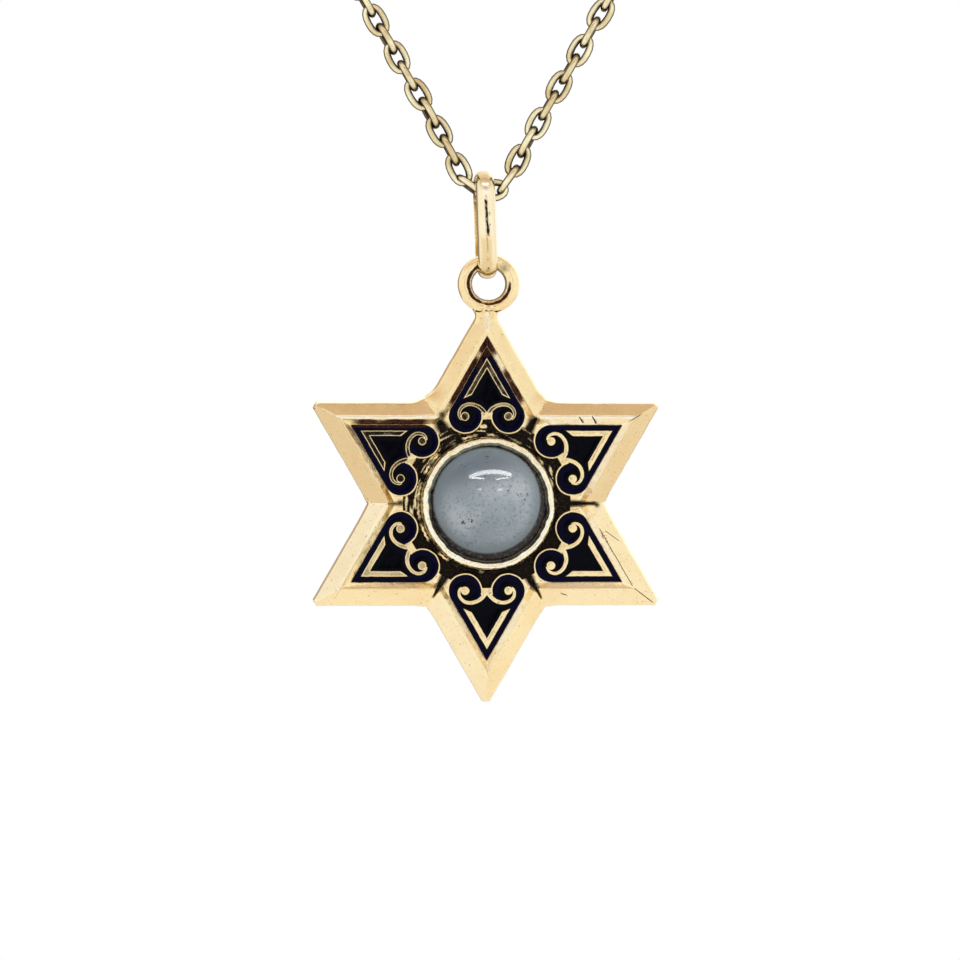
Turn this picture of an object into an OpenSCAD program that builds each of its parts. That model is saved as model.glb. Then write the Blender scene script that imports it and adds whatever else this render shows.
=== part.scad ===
// Six-rayed star pendant with enamel panels and a round cabochon, hanging by its bail from a neck chain.
// Millimetres. +Z is up, +X is right, and the front of the pendant faces -Y.
// The origin is the middle of the clasp, where the chain lies on the nape.

/* [Star] */
// Centre to the sharp point of a ray
ray_r = 12.5; // [12:0.05:13]
// Centre to the blunted end of a ray
tip_r = 12.12; // [11.9:0.02:12.3]
// Thickness of the outer edge
edge_t = 0.8; // [0.6:0.05:0.95]
// Height of the ridge of the border above the back
ridge_h = 1.7; // [1.65:0.05:2]
// Height of the flat field inside the border
field_h = 1.25; // [1.15:0.05:1.4]
// Width of the steep outer slope
steep_w = 0.76; // [0.6:0.02:0.84]
// Height at which the steep slope meets the gentler lip inside it
lip_h = 1.54; // [1.4:0.02:1.6]
// Width of both slopes, from the edge to the ridge
slope_w = 1.08; // [0.9:0.02:1.2]
// Width of the whole border, from the edge to the enamel
border_w = 1.45; // [1.35:0.02:1.6]
// Height of the floor that the enamel lies on
enamel_floor = 0.9; // [0.8:0.05:1]
// Height of the floor of the moat round the setting
moat_floor = 0.95; // [0.85:0.05:1.05]
// Outer radius of the moat round the setting
moat_r = 5.15; // [5:0.02:5.2]

/* [Enamel] */
// Gap between the enamel and the metal round it
enamel_gap = 0.03; // [0.02:0.01:0.05]
// Height of the enamel's surface above the back
enamel_top = 1.2; // [1.1:0.05:1.25]
// Distance of a lobe's middle from the star's centre, along the ray
lobe_u = 5.33; // [5.28:0.01:5.4]
// Distance of a lobe's middle from the ray's axis
lobe_v = 1.33; // [1.3:0.01:1.36]
// Width of the enamel band outside the gold chevron
band_w = 0.34; // [0.3:0.02:0.4]
// Width of a stroke of the gold chevron
chevron_w = 0.34; // [0.28:0.01:0.38]
// Distance of the chevron's free ends from the star's centre, along the ray
chevron_end_u = 6.4; // [6.3:0.05:6.6]
// Width of a scroll's stroke
scroll_w = 0.3; // [0.24:0.02:0.34]
// Radius of the bead that ends a scroll
bead_r = 0.27; // [0.22:0.01:0.3]

/* [Setting] */
// Radius of the stone
stone_r = 3.75; // [3.7:0.01:3.76]
// Radius of the stone's dome
dome_r = 4; // [3.95:0.05:4.2]
// Height of the top of the stone above the back
stone_top = 4.5; // [4.4:0.05:4.7]
// Outer radius of the bezel's wall
bezel_r = 4.07; // [4:0.01:4.12]
// Height of the bezel's rim above the back
bezel_h = 2.85; // [2.8:0.05:3]
// Radius of the opening in the rubbed-over rim
rim_open_r = 3.5; // [3.45:0.01:3.55]
// Radius of the wire round the bezel's foot
foot_wire_r = 0.17; // [0.12:0.01:0.2]

/* [Ring and bail] */
// Height of the ring's middle above the star's centre
ring_z = 13.44; // [13.42:0.01:13.46]
// Radius of the ring's hole
ring_hole_r = 0.97; // [0.97:0.01:1]
// Thickness of the ring's wire
ring_wire = 0.82; // [0.74:0.02:0.84]
// Width of the neck between the star and the ring
neck_w = 1.5; // [1.2:0.1:1.8]
// Thickness of the bail's strip
bail_t = 0.58; // [0.5:0.02:0.58]
// Width of the bail's strip at the top
bail_w_top = 1.24; // [1.1:0.02:1.4]
// Width of the bail's strip at the bottom
bail_w_bottom = 1.02; // [0.9:0.02:1.02]
// Depth of the bail, from front to back
bail_depth = 3.2; // [3.1:0.05:3.4]
// Height of the top of the bail above the star's centre
bail_top = 20.36; // [20.36:0.02:20.5]
// Height of the bottom of the bail above the star's centre
bail_bottom = 13.75; // [13.7:0.01:13.75]

/* [Chain] */
// Width of the chain over its links
chain_d = 1.3; // [1.1:0.05:1.3]
// Radius of the middle of the clasp's ring
clasp_r = 2.2; // [2:0.1:2.3]
// Thickness of the clasp's ring
clasp_d = 0.8; // [0.7:0.05:1]

/* [Hidden] */
$fn = 64;

// The pendant's middle plane, and the star's centre
pendant_y = -86;
star_z = -115;
// The star's back lies this far behind the middle plane of ring and bail
back_y = 0.85;

// Half of the chain's route, from the clasp round the neck to the middle of the bail
half_route = [
    [2.8, 0, 0], [11, -0.6, 0], [21, -2, 0], [36, -7.5, 0], [49, -17.5, -1], [56, -31, -3.5],
    [56.5, -45, -8.5], [52, -57, -16.5], [45, -66.5, -27], [36.5, -74, -40], [26.6, -79.5, -54.8],
    [17, -83.5, -69], [9.3, -85.6, -81.2], [4.8, -86, -88.9], [2.35, -86, -93.2], [1.3, -86, -95.4],
    [0, -86, -96]
];
chain_sides = 8;
steps_per_leg = 2;

cut = 0.5;          // how far a cutting shape stands proud of what it cuts
sink = 0.1;         // how far a raised piece is let into what carries it
pick = 0.05;        // gap between the stone and its setting
wall = 0.1;         // gold wall between a lobe and the moat
ledge = 0.04;       // narrow flat between the foot of the inner slope and the enamel
lean = [0.05, 0.3]; // how far the bezel's wall leans in where it is rubbed over, and the height that takes
crest = 0.2;        // how far the crest of the rubbed-over rim lies inside the bezel's wall
crest_drop = 0.02;  // how far that crest and the inner edge of its flat each lie below the one outside it
lip_w = 0.15;       // width of the lip that slopes down from the crest to the stone
lip_t = 0.08;       // thickness of that lip at the opening
lip_gap = 0.06;     // gap between the lip and the stone's dome
foot_out = 0.8;     // the foot wire's middle is off the bezel by this share of the wire's radius
foot_up = 0.6;      // and above the moat's floor by this one
neck_reach = 2.5;   // how far the neck reaches down from the ring's middle
neck_low = 0.15;    // height of the neck's back above the star's back
neck_t = 1.2;       // thickness of the neck
slice = 0.01;       // thickness of the slices that a straight of the bail is stretched between
wire_fn = 32;       // sides of a round wire
loop_normal = [0, -0.75, 0.66]; // roughly square to the plane that the chain's loop lies in
root3 = sqrt(3);
side_r = ray_r / 2;             // centre to the line of every edge of the star
panel_side = side_r - border_w; // centre to the line of a panel's side
lobe_r = panel_side - lobe_u / 2 - lobe_v * root3 / 2;
panel_tip = 2 * panel_side;
chevron_tip = panel_tip - 2 * band_w;
chevron_cut = 0.22;             // how far a chevron's free end is cut back on its inner side, along the ray
waist_u = 5.6;                  // where the two scrolls part, on the ray's axis
lobe_end = 285;                 // where a lobe's outline runs under its scroll, in degrees
scroll_start = -91;             // where a scroll starts on its lobe, in degrees from the ray's axis
scroll_turn = 228;              // degrees that a scroll winds through
scroll_steps = 12;
scroll_thin = 0.4;              // share of its width that a scroll has lost at its bead
scroll_shrink = 0.0075;         // share of its radius that a scroll loses in each degree
stone_mid = stone_top - dome_r;
wire_r = ring_wire / 2;
ring_mid_r = ring_hole_r + wire_r;
bail_arc = (bail_depth - bail_t) / 2;

// Star outline, with a ray at +Y
module star(r) {
    polygon([for (i = [0 : 11]) (i % 2 == 0 ? r : r / root3) * [sin(30 * i), cos(30 * i)]]);
}

// Turns a flat drawing in the star's own plane so that it stands upright and faces the front
module upright() {
    translate([0, pendant_y + back_y, star_z]) rotate([90, 0, 0]) children();
}

// Outline of one recessed panel, for the ray at +Y, drawn smaller all round by the given gap: a pointed
// arch whose sides run into two round lobes, parted by the waist where the scrolls meet
module panel(gap) {
    r = lobe_r - gap;
    lobe = [for (a = [60 : 15 : lobe_end]) [lobe_v + r * sin(a), lobe_u + r * cos(a)]];
    far = len(lobe) - 1;
    polygon(concat(
        [[0, panel_tip - 2 * gap]], lobe, [[0, waist_u]],
        [for (i = [far : -1 : 0]) [-lobe[i][0], lobe[i][1]]]
    ));
}

// Gold chevron inside the panel, with pointed free ends, drawn larger all round by the given gap
module chevron(gap) {
    outer = chevron_tip + 2 * gap;
    inner = chevron_tip - 2 * chevron_w - 2 * gap;
    end_out = chevron_end_u - 2 * gap;
    end_in = end_out + chevron_cut;
    polygon([
        [0, outer], [(outer - end_out) / root3, end_out], [(inner - end_in) / root3, end_in],
        [0, inner], [-(inner - end_in) / root3, end_in], [-(outer - end_out) / root3, end_out]
    ]);
}

// Point on the spiral of the right-hand scroll, at an angle from the ray's axis and a distance off the spiral
function scroll_point(turn, off) =
    let (a = scroll_start + turn, r = lobe_v * exp(-scroll_shrink * turn) + off)
        [lobe_v + r * sin(a), lobe_u + r * cos(a)];

// The pair of scrolls at the foot of the panel, each ending in a bead
module scrolls(gap) {
    half = function (i) scroll_w / 2 * (1 - scroll_thin * i / scroll_steps) + gap;
    turn = function (i) scroll_turn * i / scroll_steps;
    right = concat(
        [for (i = [0 : scroll_steps]) scroll_point(turn(i), half(i))],
        [for (i = [scroll_steps : -1 : 0]) scroll_point(turn(i), -half(i))]
    );
    for (side = [-1, 1]) {
        polygon([for (p = right) [side * p[0], p[1]]]);
        translate([side * lobe_v, lobe_u]) circle(bead_r + gap);
    }
}

module each_ray() {
    for (i = [0 : 5]) rotate(-60 * i) children();
}

// Star plate with the sloping border, the recessed panels and the moat
module star_plate() {
    lip = side_r - steep_w;
    inside = side_r - slope_w;
    foot = panel_side + ledge;
    rise = ridge_h - field_h;
    difference() {
        intersection() {
            union() {
                linear_extrude(edge_t) star(ray_r);
                translate([0, 0, edge_t]) linear_extrude(lip_h - edge_t, scale = lip / side_r) star(ray_r);
                translate([0, 0, lip_h]) linear_extrude(ridge_h - lip_h, scale = inside / lip) star(2 * lip);
            }
            translate([0, 0, -cut]) cylinder(r = tip_r, h = ridge_h + 2 * cut);
        }
        translate([0, 0, field_h])
            linear_extrude(ridge_h - field_h + cut, scale = 1 + (inside / foot - 1) * (1 + cut / rise))
                star(2 * foot);
        each_ray() translate([0, 0, enamel_floor]) linear_extrude(cut) panel(0);
        translate([0, 0, moat_floor]) linear_extrude(cut) difference() {
            circle(moat_r);
            each_ray() for (side = [-1, 1]) translate([side * lobe_v, lobe_u]) circle(lobe_r + wall);
        }
    }
}

// Raised gold drawing of all six panels
module relief() {
    translate([0, 0, enamel_floor - sink]) linear_extrude(field_h - enamel_floor + sink)
        each_ray() {
            chevron(0);
            scrolls(0);
        }
}

// Wall of the setting, rubbed over the edge of the stone, with a wire round its foot
module bezel() {
    foot = moat_floor - sink;
    inner_r = stone_r + pick;
    near_r = dome_r + lip_gap;
    on_dome = function (r) stone_mid + sqrt(near_r * near_r - r * r);
    rotate_extrude() polygon([
        [inner_r, foot], [bezel_r, foot],
        [bezel_r, bezel_h - crest - lean[1]], [bezel_r - lean[0], bezel_h - crest],
        [bezel_r - crest, bezel_h - crest_drop], [rim_open_r + lip_w, bezel_h - 2 * crest_drop],
        [rim_open_r, on_dome(rim_open_r) + lip_t], [rim_open_r, on_dome(rim_open_r)],
        [inner_r, on_dome(inner_r)]
    ]);
    translate([0, 0, moat_floor + foot_wire_r * foot_up]) rotate_extrude()
        translate([bezel_r + foot_wire_r * foot_out, 0]) circle(foot_wire_r, $fn = wire_fn);
}

// Ring at the top ray with the soldered neck under it
module top_ring() {
    translate([0, ring_z, back_y]) rotate_extrude() translate([ring_mid_r, 0]) circle(wire_r, $fn = wire_fn);
    translate([-neck_w / 2, ring_z - neck_reach, neck_low]) cube([neck_w, neck_reach - ring_mid_r, neck_t]);
}

module star_body() {
    color("gold") upright() {
        star_plate();
        relief();
        bezel();
        top_ring();
    }
}

module moonstone() {
    color("lightsteelblue") upright() intersection() {
        translate([0, 0, stone_mid]) sphere(dome_r, $fn = 96);
        translate([0, 0, moat_floor + pick]) cylinder(r = stone_r, h = stone_top);
    }
}

// Enamel of the ray number i, counted clockwise from the top
module enamel(i) {
    floor_z = enamel_floor + enamel_gap;
    color("midnightblue") upright() rotate(-60 * i) translate([0, 0, floor_z])
        linear_extrude(enamel_top - floor_z) difference() {
            panel(enamel_gap);
            chevron(enamel_gap);
            scrolls(enamel_gap);
        }
}

// Strip section of the bail, with round edges, set a distance out from the axis of its bend
module strip(width, out) {
    translate([out, 0]) square([bail_t, width - bail_t], center = true);
    for (side = [-1, 1]) translate([out, side * (width - bail_t) / 2]) circle(bail_t / 2, $fn = wire_fn);
}

// Half turn of the bail: 1 is the top bend and -1 the bottom one
module bend(side, width) {
    rotate([0, 90, 0]) rotate_extrude(angle = 180, start = side > 0 ? 90 : -90) strip(width, bail_arc);
}

module bail() {
    low = bail_bottom + bail_depth / 2;
    high = bail_top - bail_depth / 2;
    color("gold") translate([0, pendant_y, star_z]) {
        translate([0, 0, low]) bend(-1, bail_w_bottom);
        translate([0, 0, high]) bend(1, bail_w_top);
        for (side = [-1, 1]) hull() {
            translate([0, side * bail_arc, low - slice])
                linear_extrude(slice) rotate(90) strip(bail_w_bottom, 0);
            translate([0, side * bail_arc, high])
                linear_extrude(slice) rotate(90) strip(bail_w_top, 0);
        }
    }
}

// Clasp: a plain ring at the nape
module clasp() {
    color("gold") rotate([90, 0, 0])
        rotate_extrude() translate([clasp_r, 0]) circle(clasp_d / 2, $fn = wire_fn);
}

// Whole route of the chain, from one side of the clasp to the other
last = len(half_route) - 1;
left_half = [for (p = half_route) [-p[0], p[1], p[2]]];
right_half = [for (i = [last - 1 : -1 : 0]) half_route[i]];
route = concat(left_half, right_half);
route_last = len(route) - 1;
function at(i) = route[max(0, min(route_last, i))];

// Smooth curve through the route's points
function along(i, t) =
    0.5 * (2 * at(i) + (at(i + 1) - at(i - 1)) * t
        + (2 * at(i - 1) - 5 * at(i) + 4 * at(i + 1) - at(i + 2)) * t * t
        + (3 * at(i) - at(i - 1) - 3 * at(i + 1) + at(i + 2)) * t * t * t);
centres = concat([for (i = [0 : route_last - 1], s = [0 : steps_per_leg - 1]) along(i, s / steps_per_leg)],
                 [at(route_last)]);
function unit(v) = v / norm(v);
rings = len(centres);
function heading(k) = unit(centres[min(k + 1, rings - 1)] - centres[max(k - 1, 0)]);
// Each ring starts from the direction that points out of the loop, square to the route
function outward(k) =
    let (h = heading(k), o = cross(h, loop_normal)) unit(o);

// Neck chain, as a plain tube of the chain's width
module neck_chain() {
    r = chain_d / 2;
    points = [for (k = [0 : rings - 1]) let (u = outward(k), w = cross(heading(k), u))
        for (j = [0 : chain_sides - 1]) let (a = 360 * (j + 0.5) / chain_sides)
            centres[k] + r * (cos(a) * u + sin(a) * w)];
    sides = [for (k = [0 : rings - 2], j = [0 : chain_sides - 1])
        let (a = k * chain_sides + j, b = k * chain_sides + (j + 1) % chain_sides)
            [a, a + chain_sides, b + chain_sides, b]];
    start = [for (j = [0 : chain_sides - 1]) j];
    end = [for (j = [chain_sides - 1 : -1 : 0]) (rings - 1) * chain_sides + j];
    color("gold") polyhedron(points, concat([start], sides, [end]));
}

neck_chain();
clasp();
bail();
star_body();
moonstone();
enamel(0);  // enamel_top
enamel(1);  // enamel_upper_right
enamel(2);  // enamel_lower_right
enamel(3);  // enamel_bottom
enamel(4);  // enamel_lower_left
enamel(5);  // enamel_upper_left
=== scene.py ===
import math
import random

import bmesh
import bpy
import numpy as np
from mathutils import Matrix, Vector, noise
from mathutils.geometry import delaunay_2d_cdt


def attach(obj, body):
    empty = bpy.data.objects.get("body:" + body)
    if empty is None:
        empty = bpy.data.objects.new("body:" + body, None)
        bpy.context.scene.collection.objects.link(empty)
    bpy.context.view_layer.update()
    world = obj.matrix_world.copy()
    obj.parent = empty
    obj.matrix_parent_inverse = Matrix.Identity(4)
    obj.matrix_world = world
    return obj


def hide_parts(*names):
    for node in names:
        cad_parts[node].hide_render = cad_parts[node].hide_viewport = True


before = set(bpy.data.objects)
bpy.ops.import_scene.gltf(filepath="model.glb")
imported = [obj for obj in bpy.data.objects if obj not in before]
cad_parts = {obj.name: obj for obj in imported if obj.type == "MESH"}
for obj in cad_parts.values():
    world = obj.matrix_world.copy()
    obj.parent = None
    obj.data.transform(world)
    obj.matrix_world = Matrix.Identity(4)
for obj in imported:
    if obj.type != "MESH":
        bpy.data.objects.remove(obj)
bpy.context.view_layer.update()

random.seed(11)
mm = 0.001
root3 = math.sqrt(3)

# Where the pendant hangs: middle plane, the star's back behind it, and the star's centre, in mm
hang = {"middleY": -86, "backY": 0.85, "centreZ": -115}


# Points in the star's own drawing (x right, u up, z the height over its back) to the frame, in metres
def toFrame(points):
    p = np.asarray(points, dtype=float)
    depth = hang["middleY"] + hang["backY"] - p[:, 2]
    return np.column_stack([p[:, 0], depth, hang["centreZ"] + p[:, 1]]) * mm


def wobble(p, size, seed):                       # smooth noise, about -1 to 1, with bumps of the given size
    depth = p[2] if len(p) > 2 else 0
    return noise.noise(Vector((p[0] / size + seed, p[1] / size - seed, depth / size)))


def wobbles(points, size, seed):
    return np.array([wobble(p, size, seed) for p in points])


def smooth(low, high, x):
    t = np.clip((x - low) / (high - low), 0, 1)
    return t * t * (3 - 2 * t)


def ramp(x, width):                              # 0 to 1 in a straight line as x goes from 0 to the width
    return max(0.0, min(1.0, x / width))


def bell(x, width, power=2):                     # 1 where x is 0, and little past the width
    return np.exp(-(x / width) ** power)


def patch(x, y, wide, high):                     # a bell with a flat top, in two directions
    return np.exp(-(x / wide) ** 4 - (y / high) ** 4)


# One output of a node, with the sums that a finish needs
class Wire:
    def __init__(self, tree, socket=None):
        self.tree = tree
        self.socket = socket

    def node(self, kind, settings=None, values=None, out=0):
        made = self.tree.nodes.new(kind)
        for name, value in (settings or {}).items():
            setattr(made, name, value)
        for key, value in (values or {}).items():
            if isinstance(value, Wire):
                self.tree.links.new(value.socket, made.inputs[key])
            else:
                made.inputs[key].default_value = value
        return Wire(self.tree, made.outputs[out] if made.outputs else None)

    def math(self, operation, *values, clamp=False):
        settings = {"operation": operation, "use_clamp": clamp}
        return self.node("ShaderNodeMath", settings, dict(enumerate(values)))

    def __add__(self, other):
        return self.math("ADD", self, other)

    def __radd__(self, other):
        return self.math("ADD", other, self)

    def __sub__(self, other):
        return self.math("SUBTRACT", self, other)

    def __rsub__(self, other):
        return self.math("SUBTRACT", other, self)

    def __mul__(self, other):
        return self.math("MULTIPLY", self, other)

    def __rmul__(self, other):
        return self.math("MULTIPLY", other, self)

    def clamped(self):
        return self.math("ADD", self, 0, clamp=True)

    def between(self, low, high, toLow=0.0, toHigh=1.0):
        settings = {"interpolation_type": "SMOOTHSTEP", "clamp": True}
        return self.node("ShaderNodeMapRange", settings, {0: self, 1: low, 2: high, 3: toLow, 4: toHigh})

    def mix(self, first, second):                # this value blends two colours
        return self.node("ShaderNodeMix", {"data_type": "RGBA"}, {0: self, 6: first, 7: second}, out=2)

    def grain(self, where, scale, detail=2.0, rough=0.5, stretch=None):
        if stretch:
            turn, scales = stretch
            where = self.node("ShaderNodeMapping", {}, {0: where, "Rotation": turn, "Scale": scales})
        values = {"Vector": where, "Scale": scale, "Detail": detail, "Roughness": rough}
        return self.node("ShaderNodeTexNoise", {}, values)

    def ofMesh(self, name):                      # a number that the mesh holds at each of its points
        return self.node("ShaderNodeAttribute", {"attribute_name": name}, out=2)

    def bumps(self, height, distance):
        return self.node("ShaderNodeBump", {}, {"Strength": 1.0, "Distance": distance, "Height": height})


def colour(red, green, blue):
    return (red, green, blue, 1)


def startFinish(name):
    finish = bpy.data.materials.new(name)
    finish.use_nodes = True
    tree = finish.node_tree
    shader = tree.nodes["Principled BSDF"]
    wire = Wire(tree)
    where = wire.node("ShaderNodeTexCoord", out=3)
    return finish, shader, wire, where


def feed(shader, **inputs):                      # sockets by name, with _ for a space
    for key, value in inputs.items():
        socket = shader.inputs[key.replace("_", " ")]
        if isinstance(value, Wire):
            value.tree.links.new(value.socket, socket)
        else:
            socket.default_value = value


# Polished, worn gold. Edge paints shade on the faces that turn away from the view, and the scratches run at
# each of the turns
gold = {"bright": colour(1.0, 0.825, 0.475), "warm": colour(0.96, 0.75, 0.4), "pale": colour(1.0, 0.96, 0.78),
        "shadeTan": colour(0.72, 0.52, 0.27),
        "dirtShadeDark": colour(0.003, 0.002, 0.0015), "dirtShadePale": colour(0.022, 0.014, 0.009),
        "brownDark": colour(0.014, 0.004, 0.0025), "brownPale": colour(0.1, 0.03, 0.015),
        "edgeShadeColour": colour(0.09, 0.055, 0.02), "edge": 0.0, "specks": 0.9, "glints": 0.8,
        "cloudScale": 700, "speckScale": 9000, "scratchScale": 2600, "scratchTurns": (0.5, 1.4, 2.5),
        "scratchStretch": (1, 1, 16), "grainHeight": 0.25, "scratchHeight": 0.12, "bump": 0.000004,
        "rough": 0.1}


# The mesh's values darken seams and recesses with dirt and painted shade, tint them brown with painted shade,
# and make gold paler with painted highlights, or tan below 0 with painted shade
def goldFinish(name, look):
    finish, shader, wire, where = startFinish(name)
    grimeAndShade = wire.ofMesh("grimeAndShade")
    brown = wire.ofMesh("brown")
    pale = wire.ofMesh("pale")
    facing = wire.node("ShaderNodeLayerWeight", {}, {"Blend": 0.5}, out=1)
    cloud = wire.grain(where, look["cloudScale"], 3)
    speck = wire.grain(where, look["speckScale"], 3, 0.65)
    tone = cloud.between(0.3, 0.75).mix(look["bright"], look["warm"])
    # Painted highlight pales the gold, and painted shade below 0 turns it tan
    tone = pale.mix(tone, look["pale"])
    tone = (0 - pale).mix(tone, look["shadeTan"])
    # Painted shade: faces that turn away from the view take the edge colour
    tone = (facing.between(0.08, 0.5) * look["edge"]).mix(tone, look["edgeShadeColour"])
    # Dirt and painted shade darken the gold, with specks of bare metal left among them
    glint = speck.between(0.61, 0.69) * (1.3 - grimeAndShade).clamped() * look["glints"]
    dirtAndShade = (grimeAndShade * (0.55 + speck * 0.9)).between(0.12, 0.85) * (1 - glint)
    dirtAndShadeColour = speck.between(0.42, 0.62).mix(look["dirtShadeDark"], look["dirtShadePale"])
    cover = (dirtAndShade + speck.between(0.64, 0.71) * look["specks"]).clamped()
    # Painted brown shade, broken by specks
    brownShaded = (brown * (0.5 + speck)).between(0.25, 0.7)
    tone = brownShaded.mix(tone, speck.between(0.4, 0.6).mix(look["brownDark"], look["brownPale"]))
    scratch = 0
    for turn in look["scratchTurns"]:
        stretch = ((0.2, turn, 0.4), look["scratchStretch"])
        scratch = wire.grain(where, look["scratchScale"], 2, 0.6, stretch).between(0.56, 0.68) + scratch
    height = cloud + speck * look["grainHeight"] - scratch * look["scratchHeight"]
    rough = look["rough"] + speck * 0.08 + scratch * 0.05 + cover * 0.35
    metal = 1 - cover * 0.75 - brownShaded * 0.5
    feed(shader, Base_Color=cover.mix(tone, dirtAndShadeColour), Metallic=metal.clamped(), Roughness=rough.clamped(),
         Normal=wire.bumps(height, look["bump"]))
    feed(shader, IOR=1.5, Specular_IOR_Level=0.08)
    return finish


starGold = goldFinish("starGold", gold)
# Bail and chain take painted shade on the faces that turn away from the view
bailGold = goldFinish("bailGold", {**gold, "rough": 0.08, "specks": 0.3, "edge": 0.12})
chainLook = {"bright": colour(1.0, 0.93, 0.62), "warm": colour(0.72, 0.56, 0.28), "specks": 0.7, "edge": 1.0,
             "edgeShadeColour": colour(0.06, 0.03, 0.01), "dirtShadeDark": colour(0.008, 0.004, 0.002),
             "dirtShadePale": colour(0.05, 0.028, 0.012)}
chainGold = goldFinish("chainGold", {**gold, **chainLook})
print("gold finishes made")


# Dark glassy enamel: a bluer band round the edge of each panel, near black inside, browner at the places
# listed below
enamelLook = {"middle": colour(0.0005, 0.0006, 0.003), "band": colour(0.0008, 0.0006, 0.015),
              "brownTintDark": colour(0.012, 0.003, 0.002), "brownTintPale": colour(0.06, 0.02, 0.01),
              "cloudScale": 1500, "pitScale": 16000, "bump": 0.000006}


def enamelFinish(look):
    finish, shader, wire, where = startFinish("enamelBlue")
    band = wire.ofMesh("band")
    brownTint = wire.ofMesh("brownTint")
    cloud = wire.grain(where, look["cloudScale"], 3)
    pits = wire.grain(where, look["pitScale"], 2, 0.6)
    blue = (band * (0.5 + cloud)).clamped().mix(look["middle"], look["band"])
    brown = pits.between(0.4, 0.65).mix(look["brownTintDark"], look["brownTintPale"])
    base = (brownTint * (0.6 + cloud * 0.8)).between(0.2, 0.7).mix(blue, brown)
    height = cloud * 1.5 - pits.between(0.68, 0.76) * 0.6
    feed(shader, Base_Color=base, Roughness=(0.08 + pits.between(0.6, 0.75) * 0.3),
         Normal=wire.bumps(height, look["bump"]))
    feed(shader, IOR=1.5, Specular_IOR_Level=0.05)
    return finish


# Milky grey-blue stone with small dark specks and faint veils. Painted shade makes it paler in the middle and
# darker to the rim.
# From the given shares of its radius on, it is painted dark: a painted shadow of the bezel where it shows,
# and hidden under the bezel elsewhere
stoneLook = {"milkyDark": colour(0.21, 0.255, 0.28), "milkyPale": colour(0.32, 0.355, 0.37),
             "pinkish": colour(0.36, 0.34, 0.39), "shade": colour(0.13, 0.165, 0.185),
             "upper": colour(0.09, 0.118, 0.142), "edge": colour(0.02, 0.014, 0.012),
             "dust": colour(0.11, 0.135, 0.15), "speck": colour(0.02, 0.022, 0.03), "bezelShadow": (0.842, 0.885),
             "veilScale": 420, "dustScale": 5200, "speckScale": 1150, "bump": 0.000003, "coat": 0.75,
             "glow": 0.35, "glowReach": 0.0008}


def moonstoneFinish(look):
    finish, shader, wire, where = startFinish("moonstoneMilky")
    rim = wire.ofMesh("rim")
    upper = wire.ofMesh("upper")
    veil = wire.grain(where, look["veilScale"], 4, 0.55)
    dust = wire.grain(where, look["dustScale"], 3, 0.7)
    speck = wire.grain(where, look["speckScale"], 5, 0.75)
    bezelShadow = rim.between(*look["bezelShadow"])
    base = veil.between(0.3, 0.7).mix(look["milkyDark"], look["milkyPale"])
    pinkish = (1 - rim).between(0.72, 1.0) * veil.between(0.42, 0.6)
    base = (pinkish * 0.6).mix(base, look["pinkish"])
    # Painted shade darkens it towards the rim and the upper left, and the painted shadow of the bezel takes
    # the edge colour
    base = rim.between(0.62, 0.86).mix(base, look["shade"])
    base = (upper * (0.7 + veil * 0.4)).between(0.05, 0.78).mix(base, look["upper"])
    base = bezelShadow.mix(base, look["edge"])
    base = (dust.between(0.5, 0.66) * 0.6).mix(base, look["dust"])
    base = (speck.between(0.62, 0.65) * veil.between(0.42, 0.54)).mix(base, look["speck"])
    clearOfShadow = 1 - bezelShadow
    feed(shader, Base_Color=base, Roughness=(0.45 + dust.between(0.62, 0.72) * 0.1 - clearOfShadow * 0.35),
         Normal=wire.bumps(veil + dust * 0.1, look["bump"]), Coat_Weight=clearOfShadow * look["coat"])
    feed(shader, IOR=1.52, Specular_IOR_Level=0.15, Subsurface_Weight=look["glow"],
         Subsurface_Radius=(0.6, 0.8, 1.0), Subsurface_Scale=look["glowReach"], Coat_Roughness=0.03)
    return finish


enamelBlue = enamelFinish(enamelLook)
moonstoneMilky = moonstoneFinish(stoneLook)
print("enamel and stone finishes made")


def addObject(name, data):
    made = bpy.data.objects.new(name, data)
    bpy.context.scene.collection.objects.link(made)
    return made


def addMesh(name, points, faces):                # with all of its faces turned out
    mesh = bpy.data.meshes.new(name)
    mesh.from_pydata([tuple(p) for p in points], [], [tuple(int(i) for i in f) for f in faces])
    work = bmesh.new()
    work.from_mesh(mesh)
    bmesh.ops.recalc_face_normals(work, faces=work.faces)
    work.to_mesh(mesh)
    work.free()
    return mesh


def makePiece(name, points, faces, body, node, finish, values):
    mesh = addMesh(name, points, faces)
    for key, numbers in values.items():
        held = mesh.attributes.new(key, "FLOAT", "POINT")
        held.data.foreach_set("value", np.asarray(numbers, dtype=np.float32))
    mesh.shade_smooth()
    mesh.materials.append(finish)
    piece = addObject(name, mesh)
    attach(piece, body)
    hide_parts(node)
    print("made", name, len(mesh.polygons), "faces")
    return piece


# Faces between rows of points, each row a closed loop. The last row meets the first unless they are open
def gridFaces(rows, columns, first=0, closed=True):
    total = rows * columns
    faces = []
    for i in range(rows if closed else rows - 1):
        for j in range(columns):
            a, b = i * columns + j, i * columns + (j + 1) % columns
            corners = (a, b, (b + columns) % total, (a + columns) % total)
            faces.append(tuple(first + corner for corner in corners))
    return faces


def torus(radius, wire, around, across):         # flat round its middle, from the wire's own radius
    points = []
    for i in range(around):
        a = 2 * math.pi * i / around
        for j in range(across):
            b = 2 * math.pi * j / across
            r = radius + wire * math.cos(b)
            points.append((r * math.cos(a), r * math.sin(a), wire * math.sin(b)))
    return np.array(points), gridFaces(around, across)


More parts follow.
